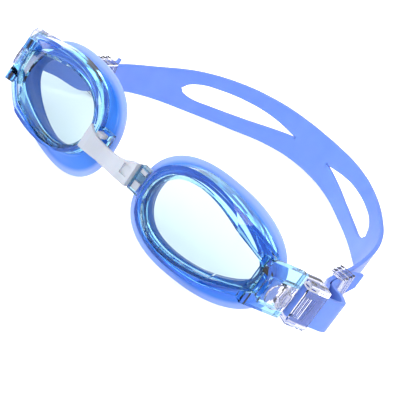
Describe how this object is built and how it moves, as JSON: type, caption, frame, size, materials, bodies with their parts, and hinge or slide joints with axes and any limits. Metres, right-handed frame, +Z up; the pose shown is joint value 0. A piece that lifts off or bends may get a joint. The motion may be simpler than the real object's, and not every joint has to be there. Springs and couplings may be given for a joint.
{
  "type": "swim goggles",
  "caption": "Swim goggles with folded oval lenses in soft flared seals, a clip-in nose bridge, release-lever buckles and a split rear head strap.",
  "frame": {"origin": "centre of the footprint of the goggles, on the surface they stand on", "axes": "+X to the wearer's left, +Y from the lenses back to the head strap, +Z up"},
  "size_m": [0.1666, 0.1412, 0.0423],
  "materials": {
    "frame": "clear tinted gloss",
    "lens": "clear polished",
    "seal": "soft satin",
    "clip": "clear gloss",
    "bridge": "milky satin",
    "strap": "translucent satin",
    "pin": "gloss"
  },
  "bodies": {
    "left_cup": {"frame_left": "frame", "lens_left": "lens", "seal_left": "seal", "hinge_pin_left": "pin", "nose_bridge": "bridge", "strap": "strap"},
    "right_cup": {"frame_right": "frame", "lens_right": "lens", "seal_right": "seal", "hinge_pin_right": "pin"},
    "left_buckle": {"buckle_left": "clip"},
    "right_buckle": {"buckle_right": "clip"},
    "left_lever": {"lever_left": "clip"},
    "right_lever": {"lever_right": "clip"},
    "left_keeper": {"keeper_left": "clip"},
    "right_keeper": {"keeper_right": "clip"}
  },
  "joints": [
    {"name": "nose_flex", "type": "hinge", "parent": "left_cup", "child": "right_cup", "pos_m": [-0.002, -0.06749, 0.02372], "axis": [0, 0.2351, 0.972], "range_deg": [-6, 6], "stiffness_Nm_per_rad": 0.4, "deforming": ["nose_bridge", "strap"]},
    {"name": "buckle_swing_left", "type": "hinge", "parent": "left_cup", "child": "left_buckle", "pos_m": [0.071, -0.04591, 0.0186], "axis": [0, 0.2351, 0.972], "range_deg": [-8, 12], "deforming": ["strap"]},
    {"name": "buckle_swing_right", "type": "hinge", "parent": "right_cup", "child": "right_buckle", "pos_m": [-0.071, -0.04591, 0.0186], "axis": [0, -0.2351, -0.972], "range_deg": [-8, 12], "deforming": ["strap"]},
    {"name": "lever_press_left", "type": "hinge", "parent": "left_buckle", "child": "left_lever", "pos_m": [0.071, -0.04591, 0.0186], "axis": [0, -0.2351, -0.972], "range_deg": [0, 8], "stiffness_Nm_per_rad": 0.02},
    {"name": "lever_press_right", "type": "hinge", "parent": "right_buckle", "child": "right_lever", "pos_m": [-0.071, -0.04591, 0.0186], "axis": [0, 0.2351, 0.972], "range_deg": [0, 8], "stiffness_Nm_per_rad": 0.02},
    {"name": "keeper_slide_left", "type": "slide", "parent": "left_cup", "child": "left_keeper", "axis": [-0.0763, 0.9971, 0], "range_m": [-0.002, 0.0005]},
    {"name": "keeper_slide_right", "type": "slide", "parent": "right_cup", "child": "right_keeper", "axis": [0.0763, 0.9971, 0], "range_m": [-0.002, 0.0005]}
  ]
}
